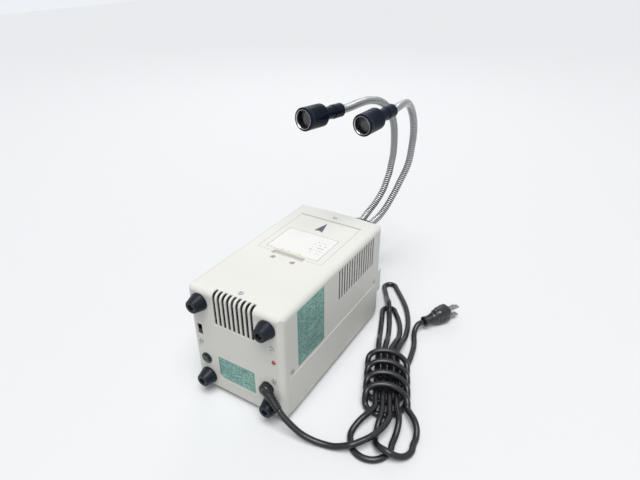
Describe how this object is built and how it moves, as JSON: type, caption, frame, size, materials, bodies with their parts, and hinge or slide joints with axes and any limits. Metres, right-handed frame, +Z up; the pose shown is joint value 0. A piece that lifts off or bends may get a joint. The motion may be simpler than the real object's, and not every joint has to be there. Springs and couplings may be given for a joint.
{
  "type": "fiber optic illuminator",
  "caption": "Fan-cooled lamp house with a hinged lamp door and rear feet, feeding a swivelling branched gooseneck light guide with focusing heads.",
  "frame": {"origin": "on the bench, under the plan centre of the lamp house", "axes": "+Z up, +Y towards the rear panel, -Y towards the front panel and light guide, +X completes a right-handed frame"},
  "size_m": [0.2607, 0.3918, 0.3042],
  "materials": {
    "housing_ivory": "fine moulded grain, warm ivory",
    "hinge_steel": "plain ground",
    "chart_white": "satin plate with a thin dark frame",
    "arrow_blue": "satin",
    "foil_green": "printed foil with dark rules",
    "screw_steel": "plated",
    "foot_rubber": "satin with a bluish sheen",
    "fitting_black": "fine grain",
    "cap_dark_green": "satin",
    "contact_metal": "plated",
    "lens_red": "clear tinted",
    "cord_black": "semi-gloss",
    "blade_nickel": "nickel plated, stamped",
    "turned_aluminium": "fine turned",
    "knob_ivory": "fluted",
    "pot_zinc": "plated zinc",
    "lens_green": "clear tinted",
    "fibre_glass": "polished",
    "branch_dark": "satin black",
    "gooseneck_metal": "ribbed bright metal hose",
    "anodised_navy": "satin anodised",
    "rim_bright": "machined chamfer",
    "fan_black": "moulded",
    "core_iron": "varnished laminations",
    "coil_amber": "taped winding",
    "board_green": "lacquered",
    "parts_dark": "mixed",
    "bracket_metal": "folded sheet",
    "filter_glass": "heat-absorbing tint",
    "reflector_mirror": "faceted dichroic",
    "ceramic_white": "unglazed ceramic"
  },
  "bodies": {
    "lamp_house": {"base_tray": "housing_ivory", "top_cover": "housing_ivory", "front_panel": "housing_ivory", "rear_panel": "housing_ivory", "door_hinge_pin": "hinge_steel", "side_label": "foil_green", "rear_label": "foil_green", "case_screws": "screw_steel", "base_feet": "foot_rubber", "rear_feet": "foot_rubber", "rear_foot_screws": "screw_steel", "voltage_selector": "fitting_black", "fuse_holder": "fitting_black", "rear_indicator": "lens_red", "cord_gland": "cord_black", "mains_cord": "cord_black", "cord_hank": "cord_black", "cord_tail": "cord_black", "plug_body": "cord_black", "plug_blades": "blade_nickel", "plug_earth_pin": "blade_nickel", "guide_socket": "turned_aluminium", "socket_screws": "screw_steel", "potentiometer": "pot_zinc", "rocker_frame": "fitting_black", "pilot_lamp": "lens_green", "fan_frame": "fan_black", "transformer_core": "core_iron", "transformer_coil": "coil_amber", "circuit_board": "board_green", "board_parts": "parts_dark", "lamp_bracket": "bracket_metal", "heat_filter": "filter_glass", "halogen_lamp": "reflector_mirror", "lamp_capsule": "fibre_glass", "lamp_holder": "ceramic_white"},
    "lamp_door": {"lamp_door": "housing_ivory", "lamp_chart_plate": "chart_white", "arrow_mark": "arrow_blue"},
    "selector": {"selector_slider": "fitting_black"},
    "fuse_carrier": {"fuse_cap": "cap_dark_green", "fuse": "contact_metal"},
    "clamp": {"clamp_screw": "turned_aluminium"},
    "dial": {"intensity_knob": "knob_ivory", "dial_shaft": "hinge_steel"},
    "rocker": {"power_rocker": "fitting_black"},
    "light_guide": {"guide_ferrule": "turned_aluminium", "fibre_faces": "fibre_glass", "guide_branch": "branch_dark", "gooseneck_a": "gooseneck_metal", "gooseneck_b": "gooseneck_metal", "head_a_body": "anodised_navy", "head_b_body": "anodised_navy"},
    "focus_a": {"head_a_barrel": "anodised_navy", "head_a_lens": "fibre_glass", "head_a_rim": "rim_bright"},
    "focus_b": {"head_b_barrel": "anodised_navy", "head_b_lens": "fibre_glass", "head_b_rim": "rim_bright"},
    "fan": {"fan_rotor": "fan_black"}
  },
  "joints": [
    {"name": "door_hinge", "type": "hinge", "parent": "lamp_house", "child": "lamp_door", "pos_m": [0, -0.085, 0.142], "axis": [1, 0, 0], "range_deg": [0, 90]},
    {"name": "rocker_pivot", "type": "hinge", "parent": "lamp_house", "child": "rocker", "pos_m": [0.038, -0.122, 0.056], "axis": [1, 0, 0], "range_deg": [0, 16]},
    {"name": "dial_turn", "type": "hinge", "parent": "lamp_house", "child": "dial", "pos_m": [-0.034, -0.133, 0.056], "axis": [0, 1, 0], "range_deg": [-135, 135]},
    {"name": "selector_slide", "type": "slide", "parent": "lamp_house", "child": "selector", "axis": [0, 0, 1], "range_m": [0, 0.006]},
    {"name": "fuse_bayonet", "type": "hinge", "parent": "lamp_house", "child": "fuse_carrier", "pos_m": [0.0455, 0.115, 0.0472], "axis": [0, 1, 0], "range_deg": [0, 60]},
    {"name": "clamp_turn", "type": "hinge", "parent": "lamp_house", "child": "clamp", "pos_m": [0.02, -0.1294, 0.095], "axis": [1, 0, 0], "range_deg": [0, 360]},
    {"name": "guide_swivel", "type": "hinge", "parent": "lamp_house", "child": "light_guide", "pos_m": [0, -0.12, 0.095], "axis": [0, 1, 0], "range_deg": [-75, 75]},
    {"name": "focus_a_slide", "type": "slide", "parent": "light_guide", "child": "focus_a", "axis": [0.1667, 0.985, 0.0455], "range_m": [0, 0.008]},
    {"name": "focus_b_slide", "type": "slide", "parent": "light_guide", "child": "focus_b", "axis": [0.122, 0.9915, -0.0458], "range_m": [0, 0.008]},
    {"name": "fan_spin", "type": "hinge", "parent": "lamp_house", "child": "fan", "pos_m": [0, 0.1045, 0.1085], "axis": [0, 1, 0], "continuous": true}
  ]
}
